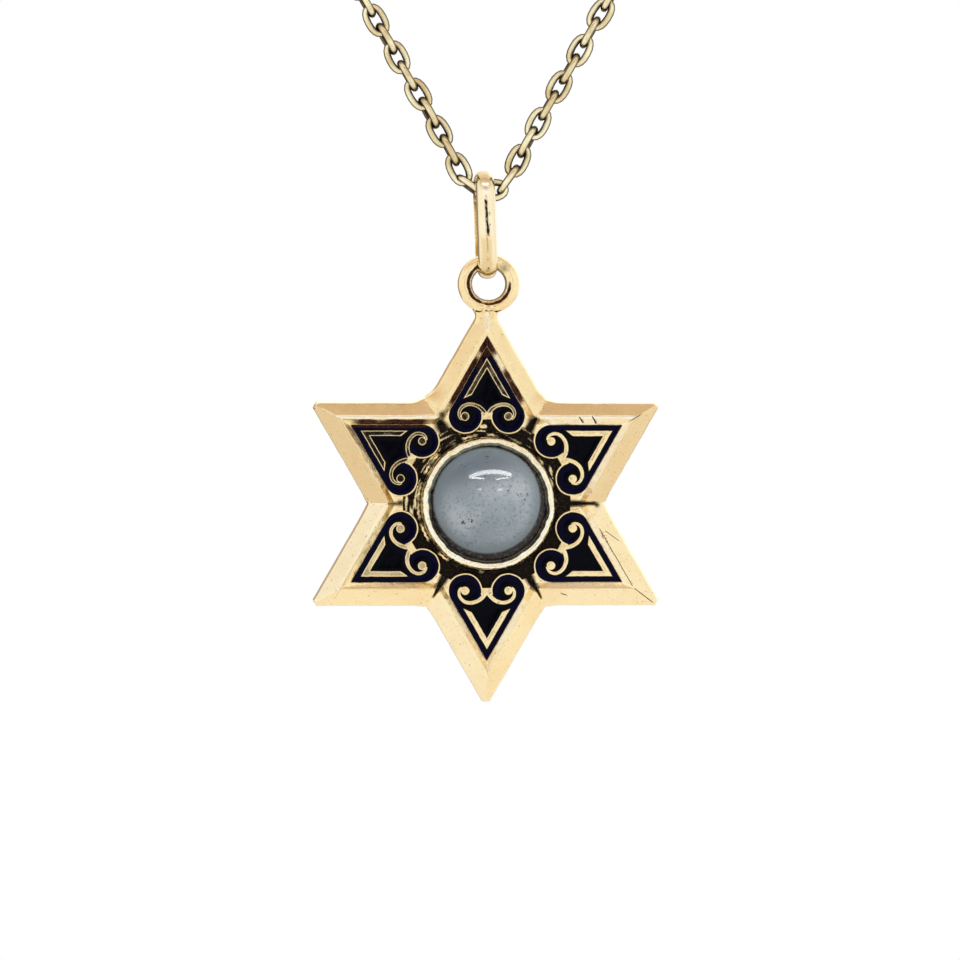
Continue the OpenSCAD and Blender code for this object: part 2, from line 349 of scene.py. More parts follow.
# Several shells gathered into one mesh
class Shells:
    def __init__(self):
        self.points, self.faces = [], []
        self.values = {"grimeAndShade": [], "brown": [], "pale": []}

    def add(self, points, faces, grimeAndShade, brown=None, pale=None):
        first = len(self.points)
        self.points.extend(tuple(p) for p in points)
        self.faces.extend(tuple(i + first for i in f) for f in faces)
        for key, numbers in (("grimeAndShade", grimeAndShade), ("brown", brown), ("pale", pale)):
            self.values[key].extend([0.0] * len(points) if numbers is None else numbers)


# Star plate, in mm. The border rises from the edge over the lip to the ridge, and falls to the field
plate = {"rayRadius": 12.5, "tipRadius": 12.12, "edge": 0.8, "ridge": 1.62, "field": 1.25, "slope": 1.05,
         "steep": 0.88, "lip": 1.59, "border": 1.45, "foot": 0.01, "floor": 0.95, "moatFloor": 0.95,
         "moatRadius": 5.15, "bezelRadius": 4.2, "edgeRound": 0.15, "edgeDrop": 0.14, "ridgeRound": 0.02,
         "grooveDepth": 0.24, "nickDepth": 0.04, "crease": 0.02, "wallWidth": 0.035}
sideRadius = plate["rayRadius"] / 2
ridgeSide = sideRadius - plate["slope"]
lipSide = sideRadius - plate["steep"]
panelSide = sideRadius - plate["border"]
footSide = panelSide + plate["foot"]

# Drawing of a panel, for the ray that points up, in mm
panelDrawing = {"lobeU": 5.33, "lobeV": 1.33, "waistU": 5.6, "lobeStart": 60, "lobeEnd": 285, "band": 0.34,
                "chevron": 0.34, "chevronEndU": 6.4, "chevronCut": 0.22, "scroll": 0.3, "scrollThin": 0.4,
                "scrollTurn": 228, "scrollStart": -91, "scrollShrink": 0.0075, "bead": 0.27, "lobeWall": 0.1}
lobeRadius = panelSide - panelDrawing["lobeU"] / 2 - panelDrawing["lobeV"] * root3 / 2
chevronTip = 2 * panelSide - 2 * panelDrawing["band"]


def aroundLobe(angle, radius):                   # angle from the ray's axis, in degrees
    a = math.radians(angle)
    return (panelDrawing["lobeV"] + radius * math.sin(a), panelDrawing["lobeU"] + radius * math.cos(a))


# Each outline takes a gap: more makes the panel smaller and the gold drawing in it larger
def panelOutline(gap):
    angles = range(panelDrawing["lobeStart"], panelDrawing["lobeEnd"] + 1, 5)
    lobe = [aroundLobe(a, lobeRadius - gap) for a in angles]
    loop = [(0, 2 * panelSide - 2 * gap)] + lobe + [(0, panelDrawing["waistU"])]
    return loop + [(-v, u) for v, u in reversed(lobe)]


def chevronOutline(gap):
    outer = chevronTip + 2 * gap
    inner = chevronTip - 2 * panelDrawing["chevron"] - 2 * gap
    endOut = panelDrawing["chevronEndU"] - 2 * gap
    endIn = endOut + panelDrawing["chevronCut"]
    return [(0, outer), ((outer - endOut) / root3, endOut), ((inner - endIn) / root3, endIn),
            (0, inner), (-(inner - endIn) / root3, endIn), (-(outer - endOut) / root3, endOut)]


def scrollOutline(gap):
    steps = 40
    turns = [panelDrawing["scrollTurn"] * i / steps for i in range(steps + 1)]

    def at(turn, side):
        share = turn / panelDrawing["scrollTurn"]
        half = panelDrawing["scroll"] / 2 * (1 - panelDrawing["scrollThin"] * share) + gap
        radius = panelDrawing["lobeV"] * math.exp(-panelDrawing["scrollShrink"] * turn) + side * half
        return aroundLobe(panelDrawing["scrollStart"] + turn, radius)

    return [at(t, 1) for t in turns] + [at(t, -1) for t in reversed(turns)]


def circleOutline(v, u, radius, steps):
    turns = [2 * math.pi * i / steps for i in range(steps)]
    return [(v + radius * math.sin(t), u + radius * math.cos(t)) for t in turns]


def beadOutline(gap):
    return circleOutline(panelDrawing["lobeV"], panelDrawing["lobeU"], panelDrawing["bead"] + gap, 24)


def panelLines(gap):                             # the edge of a panel and all of its gold drawing
    halves = [made(gap) for made in (scrollOutline, beadOutline)]
    both = [[(side * v, u) for v, u in half] for half in halves for side in (-1, 1)]
    return [panelOutline(gap), chevronOutline(gap)] + both


def segmentDistance(points, ax, ay, bx, by):
    x, y = points.T
    dx, dy = bx - ax, by - ay
    share = np.clip(((x - ax) * dx + (y - ay) * dy) / (dx * dx + dy * dy + 1e-12), 0, 1)
    return np.hypot(x - ax - share * dx, y - ay - share * dy)


# Distance to a closed outline, less than 0 inside it
def outlineDistance(points, outline):
    a = np.asarray(outline, dtype=float)
    b = np.roll(a, -1, axis=0)
    x, y = points.T
    best = np.full(len(points), np.inf)
    inside = np.zeros(len(points), dtype=bool)
    for (ax, ay), (bx, by) in zip(a, b):
        best = np.minimum(best, segmentDistance(points, ax, ay, bx, by))
        if ay != by:
            crosses = (y < ay) != (y < by)
            inside ^= crosses & (x < ax + (y - ay) * (bx - ax) / (by - ay))
    return np.where(inside, -best, best)


def turned(points, degrees):                     # clockwise, as the rays are counted
    a = math.radians(degrees)
    x, y = np.asarray(points, dtype=float).T
    return np.column_stack([x * math.cos(a) + y * math.sin(a), y * math.cos(a) - x * math.sin(a)])


# Every point in the right half of the ray that it belongs to
def inRay(points):
    x, y = points.T
    a = np.radians(-60 * np.round(np.degrees(np.arctan2(x, y)) / 60))
    return np.column_stack([np.abs(x * np.cos(a) + y * np.sin(a)), y * np.cos(a) - x * np.sin(a)])


def sideDistance(points, crease):                # of the nearest star-shaped line, with softened creases
    x, y = points.T
    d = [x * math.sin(math.radians(60 * k)) + y * math.cos(math.radians(60 * k)) for k in range(6)]

    def soft(values, sign):
        values = np.array(values) * sign
        top = values.max(axis=0)
        return sign * (top + crease * np.log(np.exp((values - top) / crease).sum(axis=0)))

    return soft([soft([d[1], d[3], d[5]], 1), soft([d[0], d[2], d[4]], 1)], -1)


def notchDistance(points):                       # off the line from the centre through the nearest notch
    v, u = inRay(points).T
    return np.abs(v * math.cos(math.radians(30)) - u * math.sin(math.radians(30)))


def reliefDistance(ray):                         # to the gold drawing of a panel, less than 0 on it
    relief = np.minimum(outlineDistance(ray, scrollOutline(0)), outlineDistance(ray, beadOutline(0)))
    return np.minimum(relief, outlineDistance(ray, chevronOutline(0)))


def recessDistance(ray):                         # more than 0 in a panel's recess, clear of its gold drawing
    return np.minimum(-outlineDistance(ray, panelOutline(0)), reliefDistance(ray))


# How much painted shade darkens the gold drawing and the crease under the ridge of each ray's panel,
# clockwise from the top
panelShade = {"top": 0.9, "upperRight": 0.05, "lowerRight": 0.05, "bottom": 0.2, "lowerLeft": 0.5,
           "upperLeft": 1.0}
rayNames = list(panelShade)
# How much painted highlight the border takes on each ray's side before and after its tip, clockwise. Less
# than 0 is tan painted shade
slopePaintedLight = {"top": (-0.03, -0.08), "upperRight": (-0.12, -0.5), "lowerRight": (0.12, 0.1),
             "bottom": (0, 0.25), "lowerLeft": (0, 0.4), "upperLeft": (-0.7, 0)}
# The groove at each notch, clockwise: width near the moat and at its end, how dark its dirt and painted shade
# are, and how far out, in mm
grooves = {"topRight": (0.32, 0.1, 1.1, 6.3), "right": (0.24, 0.08, 1.0, 6.9),
           "lowRight": (0.3, 0.05, 1.1, 6.9), "lowLeft": (0.3, 0.05, 1.1, 6.8),
           "left": (0.16, 0.03, 0.7, 6.3), "topLeft": (0.42, 0.12, 1.1, 6.1)}
# Places of painted brown shade on the inner slopes that face down: middle, and half size across and up, in mm
brownShadePlaces = {"top": (0, 9.85, 0.85, 0.85), "topLeft": (-1.5, 7.9, 1.3, 2.3),
               "upperLeft": (-5.7, 5.0, 2.7, 0.7), "topRight": (1.62, 7.35, 0.75, 1.5)}
# Darker places: middle and radius, in mm
darkPlaces = {"upperLeftNotch": (-2.85, 4.7, 0.45), "upperLeftHigh": (-2.74, 5.42, 0.3),
               "upperRightNotch": (2.75, 5.0, 0.35), "right": (6.75, -0.08, 0.2), "left": (-5.3, 0.05, 0.25)}
# Nicks: from and to, and half width, in mm, and darkness
nicks = {"right": (7.3, -1.7, 8.08, -2.25, 0.028, 0.9), "rightTip": (9.05, -5.2, 10.2, -6.05, 0.03, 1.0),
         "rightRidge": (6.9, -1.55, 8.9, -5.02, 0.026, 0.95), "low": (4.55, -5.5, 4.8, -5.58, 0.035, 0.9),
         "leftRidge": (-6.85, -1.5, -9.3, -5.75, 0.02, 0.5),
         "leftRidgeOuter": (-7.1, -1.6, -9.6, -5.9, 0.018, 0.3),
         "upperRight": (5.66, 5.28, 5.88, 4.95, 0.04, 1.1),
         "upperRightSecond": (6.45, 5.32, 6.68, 4.9, 0.04, 1.1)}


def rowOf(table, which):                         # for each point, its row of a named table
    return np.array(list(table.values()))[which]


# The plate's points, and where each one lies: its ray, its distances, and the marks that it is in
class PlatePoints:
    def __init__(self, points):
        self.points = points
        self.x, self.u = points.T
        self.ray = inRay(points)
        self.radius = np.hypot(self.x, self.u)
        self.angle = np.degrees(np.arctan2(self.x, self.u)) % 360
        self.side = sideDistance(points, plate["crease"])
        self.rim = np.minimum(sideRadius - self.side, plate["tipRadius"] - self.radius)
        self.recess = recessDistance(self.ray)
        self.slow = wobbles(points, 0.8, 12)
        self.nearest = np.round(self.angle / 60).astype(int) % 6
        self.after = (self.angle - 60 * self.nearest + 180) % 360 > 180
        self.panelShaded = rowOf(panelShade, self.nearest)
        self.groove = self.inGroove()
        self.moat = self.inMoat()
        self.nick = np.maximum.reduce([dark * bell(segmentDistance(points, *ends), half)
                                       for *ends, half, dark in nicks.values()])

    def on(self, name):
        return self.nearest == rayNames.index(name)

    def inGroove(self):
        nearWidth, farWidth, dark, end = rowOf(grooves, (self.angle // 60).astype(int) % 6).T
        outward = smooth(5.2, 6.6, self.radius)
        width = nearWidth * (1 - outward) + farWidth * outward + 0.03 * wobbles(self.points, 0.4, 17)
        along = smooth(4.9, 5.2, self.radius) * (1 - smooth(end - 0.4, end, self.radius))
        return bell(notchDistance(self.points), width) * dark * along

    def inMoat(self):
        v, u = self.ray.T
        lobe = np.hypot(v - panelDrawing["lobeV"], u - panelDrawing["lobeU"])
        moat = np.minimum(plate["moatRadius"] - self.radius, lobe - lobeRadius - panelDrawing["lobeWall"])
        return smooth(-0.01, 0.04, np.minimum(moat, -self.recess))

    def onSlope(self, start, startWidth, end, endWidth):     # between two lines along the star's sides
        return smooth(start, start + startWidth, self.side) * (1 - smooth(end, end + endWidth, self.side))


def plateHeight(at):
    levels = ([0, footSide, ridgeSide, lipSide, sideRadius],
              [plate["field"], plate["field"], plate["ridge"], plate["lip"], plate["edge"]])
    rounded = [np.interp(at.side + k * plate["ridgeRound"], *levels) for k in range(-2, 3)]
    height = np.mean(rounded, axis=0)
    height -= plate["edgeDrop"] * (1 - smooth(0, plate["edgeRound"], at.rim)) ** 2
    height -= plate["grooveDepth"] * at.groove
    height += 0.012 * wobbles(at.points, 0.7, 3) + 0.004 * wobbles(at.points, 0.25, 5)
    height -= (height - plate["floor"]) * smooth(0, plate["wallWidth"], at.recess)
    height -= 0.02 * bell(at.recess, 0.03)
    rough = 0.03 * wobbles(at.points, 0.22, 7) + 0.02 * wobbles(at.points, 0.1, 8)
    height += (plate["moatFloor"] + rough - height) * at.moat
    return height - plate["nickDepth"] * at.nick


# Dark marks of the plate. Painted shade along the creases under the ridge and at the lip, and at the panels'
# walls; painted shade with dirt in the notch grooves; a painted dark reflection on the gold drawing, most in
# the upper panels; the moat's dark oxide, darker towards the bottom; and nicks, mitre lines and the listed
# darker places
def plateGrimeAndShade(at):
    clear = at.radius > plate["bezelRadius"]
    belowRidge = bell(at.side - ridgeSide + 0.07, 0.04) * (0.8 + 0.5 * at.slow)
    lipLine = bell(at.side - lipSide, 0.025) * (0.1 + 0.5 * at.slow)
    innerSlope = at.onSlope(footSide - 0.06, 0.06, ridgeSide - 0.12, 0.07)
    slopeShade = (0.12 + 0.6 * at.panelShaded) * np.where(at.on("upperLeft") & ~at.after, 0.3, 1)
    creased = np.maximum(lipLine, (belowRidge + innerSlope * 0.2) * slopeShade) * clear
    recessWall = 0.75 * bell(at.recess, 0.025) * clear
    inPanel = outlineDistance(at.ray, panelOutline(0)) < 0.02
    onDrawing = smooth(0.04, 0.09, -reliefDistance(at.ray)) * inPanel * (0.95 + 0.4 * at.slow)
    spots = [0.8 * bell(np.hypot(at.x - x, at.u - u), radius) for x, u, radius in darkPlaces.values()]
    low = smooth(0.1, 0.7, -at.u / at.radius)
    streaks = wobbles(np.column_stack([at.radius * 7, at.angle / 14]), 1, 51) - 0.22 * at.x / at.radius
    moatDarkness = 1.0 + 0.4 * low - 0.75 * smooth(0.12, 0.42, streaks) * (1 - low)
    mitre = bell(at.ray[:, 0], 0.035) * smooth(9.5, 9.7, at.ray[:, 1]) * (0.3 + 0.9 * at.slow)
    mitre *= at.on("upperLeft") | at.on("upperRight")
    return np.maximum.reduce([at.moat * moatDarkness, recessWall, np.clip(creased, 0, 1), at.groove, at.nick,
                              onDrawing * at.panelShaded, mitre, *spots])


# Painted brown shade on the inner slopes of the upper panels, which face down
def plateBrownShade(at):
    inner = at.onSlope(footSide - 0.03, 0.08, ridgeSide - 0.1, 0.08) * (0.85 + 0.4 * at.slow)
    places = [patch(at.x - x, at.u - u, wide, high) * inner for x, u, wide, high in brownShadePlaces.values()]
    return np.maximum.reduce([np.zeros(len(at.points)), *places])


# Painted light on the border: painted highlights on each ray's slopes as listed, tan painted shade where the
# listed value is below 0, and painted highlights on the crest by the ring, on the inner slopes of the clearer
# panels, and on the lip and outer edge of the sides that face up
def platePaintedLight(at):
    pale = rowOf(slopePaintedLight, (at.nearest, at.after.astype(int)))
    pale = pale * smooth(ridgeSide - 0.05, ridgeSide + 0.02, at.side)
    innerSlope = at.onSlope(footSide - 0.06, 0.06, ridgeSide - 0.12, 0.07)
    lipHighlight = at.onSlope(ridgeSide - 0.04, 0.06, lipSide, 0.05) * (0.85 + 0.4 * at.slow)
    edgeHighlight = 1 - smooth(0.03, 0.16, at.rim)
    facesUp = (at.on("upperRight") & ~at.after) | (at.on("upperLeft") & at.after)
    crestHighlight = bell(at.x, 0.1) * smooth(10.4, 10.7, at.u)
    shine = np.maximum(crestHighlight, 0.5 * innerSlope * (1.3 - at.panelShaded))
    shine = np.where(facesUp, np.maximum.reduce([shine, lipHighlight, edgeHighlight]), shine)
    return np.where(shine > 0.03, np.maximum(pale, shine), pale)


def sample(outline, step, closed=True):          # points along an outline, no further apart than the step
    ends = list(zip(outline, outline[1:] + outline[:1]))
    points = []
    for (ax, ay), (bx, by) in ends if closed else ends[:-1]:
        count = max(1, math.ceil(math.hypot(bx - ax, by - ay) / step))
        points += [(ax + (bx - ax) * i / count, ay + (by - ay) * i / count) for i in range(count)]
    return points if closed else points + [outline[-1]]


def onCircle(radius, degrees):                   # clockwise from the top
    a = math.radians(degrees)
    return (radius * math.sin(a), radius * math.cos(a))


def starOutline(side):
    return [onCircle(2 * side if i % 2 == 0 else 2 * side / root3, 30 * i) for i in range(12)]


def bluntStar():                                 # the star's outline with its rays cut off by a circle
    half = 60 - math.degrees(math.acos(sideRadius / plate["tipRadius"]))
    loop = []
    for ray in range(6):
        loop += [onCircle(plate["tipRadius"], 60 * ray + half * k) for k in (-1, -1 / 3, 1 / 3, 1)]
        loop.append(onCircle(2 * sideRadius / root3, 60 * ray + 30))
    return loop


# Triangles between lines that the edges must follow, with a scatter of points between them
class Sheet:
    def __init__(self):
        self.points, self.edges = [], []

    def line(self, points, closed=True, keep=None):
        first = len(self.points)
        self.points += [tuple(p) for p in points]
        count = len(points)
        for i in range(count if closed else count - 1):
            a, b = points[i], points[(i + 1) % count]
            if keep is None or (keep(a) and keep(b)):
                self.edges.append((first + i, first + (i + 1) % count))

    def scatter(self, points):
        self.points += [tuple(p) for p in points]

    def triangles(self, keep):
        cut = delaunay_2d_cdt([Vector(p) for p in self.points], self.edges, [], 0, 1e-5)
        points = np.array([(p.x, p.y) for p in cut[0]])
        faces = np.array([tuple(f) for f in cut[2]])
        faces = faces[keep(points[faces].mean(axis=1))]
        used = np.unique(faces)
        renumber = np.full(len(points), -1)
        renumber[used] = np.arange(len(used))
        return points[used], renumber[faces]


def honeycomb(reach, step, keep):                # a scatter in rows, with each point a little off its place
    rows = int(reach / (step * root3 / 2))
    points = [((i + 0.5 * (j % 2)) * step + random.uniform(-0.2, 0.2) * step,
               j * step * root3 / 2 + random.uniform(-0.2, 0.2) * step)
              for j in range(-rows, rows + 1) for i in range(int(-reach / step), int(reach / step) + 1)]
    points = np.array(points)
    return points[keep(points)]


# How far metal fills each notch, in mm, by its angle clockwise from the top
fillets = {-30: 0.3, 30: 0.16, 90: 0.05, -90: 0.05, 150: 0.08, -150: 0.08}


# Hand work: lines wander a little, less on the rays, and the two upper notches are filled the most
def byHand(points):
    p = np.asarray(points, dtype=float)
    radius = np.hypot(*p.T)
    slow = np.column_stack([wobbles(points, 1.1, 21), wobbles(points, 1.1, 33)])
    quick = np.column_stack([wobbles(points, 0.3, 25), wobbles(points, 0.3, 37)])
    shift = slow * (0.035 - 0.02 * smooth(5.2, 6.5, radius))[:, None]
    shift += quick * 0.014 * (radius < 9.8)[:, None]
    for angle, fill in fillets.items():
        notch = np.array(onCircle(1, angle))
        off = np.hypot(*(p - notch * 2 * sideRadius / root3).T)
        shift += notch * (fill * bell(off, 0.55))[:, None]
    return p + shift


def boundary(faces):                             # the edges that only one triangle uses, in its own direction
    seen = {}
    for f in faces:
        for i in range(3):
            a, b = int(f[i]), int(f[(i + 1) % 3])
            if (b, a) in seen:
                del seen[(b, a)]
            else:
                seen[(a, b)] = True
    return list(seen)


# A sheet of triangles with walls: top heights, then rings down the wall, each an inset and a height
def withWalls(points, faces, heights, rings):
    top = [(*p, z) for p, z in zip(points, heights)]
    edges = boundary(faces)
    nextOf = dict(edges)
    rim = sorted(nextOf)
    allFaces = [tuple(f) for f in faces]
    ringOf = {i: i for i in rim}
    for inset, height in rings:
        fresh = {}
        for i in rim:
            fresh[i] = len(top)
            kept = 1 - inset / math.hypot(*points[i])
            top.append((points[i][0] * kept, points[i][1] * kept, height))
        allFaces += [(ringOf[b], ringOf[a], fresh[a], fresh[b]) for a, b in edges]
        ringOf = fresh
    left = set(rim)
    loops = []
    while left:
        loop = []
        i = min(left)
        while i in left:
            left.discard(i)
            loop.append(ringOf[i])
            i = nextOf[i]
        loops.append(tuple(loop))
    return top, allFaces, loops


# The lines that the plate's triangles follow, each at its distances in mm, and the steps along them
follow = {"edge": (0.025, 0.06, 0.1, 0.15), "ridge": (0.06, 0.03, 0, -0.03, -0.06, -0.12, -0.2),
          "lip": (0.04, 0, -0.04), "foot": (0.04, 0), "tip": (-0.04, 0, 0.04),
          "notch": (-0.24, -0.16, -0.1, -0.05, 0, 0.05, 0.1, 0.16, 0.24),
          "panel": (-0.08, -0.03, 0, 0.02, plate["wallWidth"]),
          "lobe": (-0.03, 0.01, 0.05), "moat": (-0.04, 0.01, 0.05), "nick": (-0.06, -0.03, 0, 0.03, 0.06),
          "edgeStep": 0.2, "slopeStep": 0.12, "panelStep": 0.09, "tipStep": 0.15, "nickStep": 0.1}


def plateSheet():
    sheet = Sheet()
    inTip = lambda p: math.hypot(*p) < plate["tipRadius"] - 0.03
    inMoat = lambda p: math.hypot(*p) < plate["moatRadius"]
    sheet.line(sample(bluntStar(), follow["edgeStep"]))
    for inset in follow["edge"]:
        sheet.line(sample(starOutline(sideRadius - inset), follow["edgeStep"]), keep=inTip)
    for side, line in ((ridgeSide, "ridge"), (lipSide, "lip"), (footSide, "foot")):
        for off in follow[line]:
            sheet.line(sample(starOutline(side + off), follow["slopeStep"]))
    for k in range(6):
        for off in follow["notch"]:
            line = sample([(off, 4.6), (off, 7.12 - abs(off) * 1.2)], follow["slopeStep"], closed=False)
            sheet.line(turned(line, 60 * k + 30), closed=False)
        for off in follow["tip"]:
            line = sample([(off, 9.8), (off, 11.95)], follow["tipStep"], closed=False)
            sheet.line(turned(line, 60 * k), closed=False)
        for gap in follow["panel"]:
            for outline in panelLines(gap):
                sheet.line(turned(sample(outline, follow["panelStep"]), 60 * k))
        for side in (-1, 1):
            for gap in follow["lobe"]:
                outline = circleOutline(side * panelDrawing["lobeV"], panelDrawing["lobeU"],
                                        lobeRadius + panelDrawing["lobeWall"] + gap, 72)
                sheet.line(turned(outline, 60 * k), keep=inMoat)
    for gap in follow["moat"]:
        sheet.line(circleOutline(0, 0, plate["moatRadius"] + gap, 360))
    for ax, ay, bx, by, *_ in nicks.values():
        length = math.hypot(bx - ax, by - ay)
        for off in follow["nick"]:
            dx, dy = -(by - ay) / length * off, (bx - ax) / length * off
            line = sample([(ax + dx, ay + dy), (bx + dx, by + dy)], follow["nickStep"], closed=False)
            sheet.line(line, closed=False)
    return sheet


def starPlate(shells):
    def inStar(p, inset=0.0):
        inSides = sideDistance(p, 0.001) < sideRadius - inset
        return inSides & (np.hypot(*p.T) < plate["tipRadius"] - inset)

    sheet = plateSheet()
    sheet.scatter(honeycomb(12.5, 0.3, lambda p: inStar(p, 0.1)))
    sheet.scatter(honeycomb(5.3, 0.08, lambda p: (np.hypot(*p.T) < 5.2) & (np.hypot(*p.T) > 3.9)))
    points, faces = sheet.triangles(inStar)
    at = PlatePoints(points)
    rings = ((0.0, 0.1), (0.05, 0.02), (0.12, 0.0), (0.3, 0.0), (0.6, 0.0))
    top, allFaces, loops = withWalls(byHand(points), faces, plateHeight(at), rings)
    rest = [0.1] * (len(top) - len(points))
    values = [list(made(at)) + rest for made in (plateGrimeAndShade, plateBrownShade, platePaintedLight)]
    shells.add(toFrame(top), allFaces + loops, *values)
    print("star plate", len(points), "points")


# A profile of radius and height turned round the star's axis, with a function that moves each point
def turnedShell(shells, profile, steps, grimeAndShade, shape, pale=None):
    points = []
    for i in range(steps):
        a = 2 * math.pi * i / steps
        for r, z in profile:
            r, z = shape(a, r, z)
            points.append((r * math.sin(a), r * math.cos(a), z))
    paleness = [pale(*p) for p in points] if pale else None
    shells.add(toFrame(points), gridFaces(steps, len(profile)), [grimeAndShade(*p) for p in points], pale=paleness)


# Bezel, in mm. Its rim is rounded through insets from the outer wall and drops from the top, and its lip
# through steps out from the opening and up from the stone. The twisted wire lies round its foot
setting = {"outer": 4.07, "inner": 3.8, "height": 2.85, "opening": 3.5, "domeRadius": 4.0, "domeMiddle": 0.5,
           "foot": 0.85, "wall": (1.5, 2.2), "lip": ((0.04, 0.12), (0, 0.05), (0, -0.02)), "groove": 0.27,
           "rim": ((0.01, 0.42), (0.04, 0.25), (0.1, 0.12), (0.17, 0.04), (0.23, 0.02), (0.27, 0.055),
                   (0.31, 0.03), (0.38, 0.06), (0.46, 0.14)),
           "around": 360, "wireRadius": 0.13, "wireGap": 0.11, "wireLift": 0.1, "twists": 74,
           "wireAround": 592, "wireSides": 10}


def onDome(r):                                   # just off the stone
    return setting["domeMiddle"] + math.sqrt((setting["domeRadius"] + 0.03) ** 2 - r * r)


def bezelShell(shells):
    outer, opening = setting["outer"], setting["opening"]
    profile = [(setting["inner"], setting["foot"]), (outer, setting["foot"])]
    profile += [(outer, z) for z in setting["wall"]]
    profile += [(outer - inset, setting["height"] - drop) for inset, drop in setting["rim"]]
    profile += [(opening + out, onDome(opening) + up) for out, up in setting["lip"]]
    profile.append((setting["inner"] - 0.1, onDome(setting["inner"])))

    def shape(a, r, z):
        around = Vector((math.sin(a) * 4, math.cos(a) * 4, 0))
        slow = noise.noise(around * 0.7 + Vector((3, 1, 0)))
        quick = noise.noise(around * 2.2 + Vector((0, 5, 0)))
        fine = noise.noise(around * 6 + Vector((r * 3, 7, z * 2)))
        high = ramp(z - 1.8, 0.6)
        inward = high * (0.06 * slow + 0.05 * quick) * (1.4 if r < 3.7 else 0.8)
        return r + inward + high * (0.02 * fine - 0.01), z + high * (0.03 * quick + 0.02 * fine) - 0.02

    # Darker low on its wall, oxide and painted shade where it stands in the moat, with dark lines along the
    # groove in its rim and round the opening
    def grimeAndShade(x, u, z):
        r = math.hypot(x, u)
        low = ramp(1.75 - z, 0.6)
        seam = bell(r - (outer - setting["groove"]), 0.022) * (z > 2.5)
        seam *= 0.35 + 0.6 * wobble((x, u), 1.1, 9)
        return max(low * 0.95, seam, 0.7 * bell(r - opening, 0.04))

    # Painted highlight on the top of the rim, weaker towards the top of the star
    def pale(x, u, z):
        lit = 0.95 - 0.4 * max(0.0, u / math.hypot(x, u))
        return ramp(z - 2.2, 0.3) * lit * (0.9 + 0.5 * wobble((x, u), 0.7, 5))

    turnedShell(shells, profile, setting["around"], grimeAndShade, shape, pale)


def twistedWire(shells):
    sides = setting["wireSides"]
    turns = [2 * math.pi * j / sides for j in range(sides)]

    def twist(a, r, z):
        swell = 1 + 0.2 * math.cos(2 * math.atan2(z, r) + setting["twists"] * a)
        return (setting["outer"] + setting["wireGap"] + r * swell * setting["wireRadius"],
                plate["moatFloor"] + setting["wireLift"] + z * swell * setting["wireRadius"])

    # Dark with patches, darker towards the bottom of the star
    def grimeAndShade(x, u, z):
        return 0.75 + 0.07 * x + 1.2 * wobble((x, u, z), 0.6, 4) + 0.4 * smooth(0, 4, -u)

    turnedShell(shells, [(math.cos(t), math.sin(t)) for t in turns], setting["wireAround"], grimeAndShade, twist)


# Ring at the top ray with its solder neck, fused in a voxel remesh at a thousand times the size. In mm
topRing = {"centreX": 0.14, "centreU": 13.44, "wide": 1.04, "middleRadius": 1.4, "wire": 0.43, "height": 0.85,
           "around": 96, "across": 24, "neckSides": 20, "voxel": 0.045, "foldRadius": 1.22}
# The neck's sections from the plate up: place along the ray, half width, and lowest and highest point
neckRows = ((10.6, 0.93, 0.12, 1.0), (11.0, 0.8, 0.14, 1.08), (11.3, 0.7, 0.15, 1.15),
            (11.5, 0.67, 0.16, 1.22), (11.7, 0.73, 0.17, 1.3), (11.82, 0.83, 0.17, 1.36),
            (11.94, 0.84, 0.2, 1.36), (12.08, 0.72, 0.3, 1.25), (12.25, 0.45, 0.45, 1.15))


def neckShell():
    sides, rows = topRing["neckSides"], len(neckRows)
    points = []
    for u, half, low, high in neckRows:
        for j in range(sides):
            b = 2 * math.pi * j / sides
            square = max(abs(math.cos(b)), abs(math.sin(b))) ** 0.75
            points.append((half * math.cos(b) / square, u,
                           (low + high) / 2 + (high - low) / 2 * math.sin(b) / square))
    caps = [tuple(range(sides)), tuple(range((rows - 1) * sides, rows * sides))]
    return points, gridFaces(rows, sides, closed=False) + caps


def fusedRing():                                 # points, faces and normals of ring and neck in one skin
    loop, faces = torus(topRing["middleRadius"], topRing["wire"], topRing["around"], topRing["across"])
    points = [(topRing["centreX"] + topRing["wide"] * x, topRing["centreU"] + u, topRing["height"] + z)
              for u, x, z in loop]
    neckPoints, neckFaces = neckShell()
    faces += [tuple(i + len(points) for i in f) for f in neckFaces]
    mesh = addMesh("ringRough", points + neckPoints, faces)
    rough = addObject("ringRough", mesh)
    remesh = rough.modifiers.new("fuse", "REMESH")
    remesh.mode = "VOXEL"
    remesh.voxel_size = topRing["voxel"]
    relax = rough.modifiers.new("relax", "SMOOTH")
    relax.factor = 0.5
    relax.iterations = 4
    fused = rough.evaluated_get(bpy.context.evaluated_depsgraph_get()).to_mesh()
    points = np.array([tuple(v.co) for v in fused.vertices])
    faces = [tuple(f.vertices) for f in fused.polygons]
    normals = np.array([tuple(v.normal) for v in fused.vertices])
    rough.evaluated_get(bpy.context.evaluated_depsgraph_get()).to_mesh_clear()
    bpy.data.objects.remove(rough)
    bpy.data.meshes.remove(mesh)
    return points, faces, normals


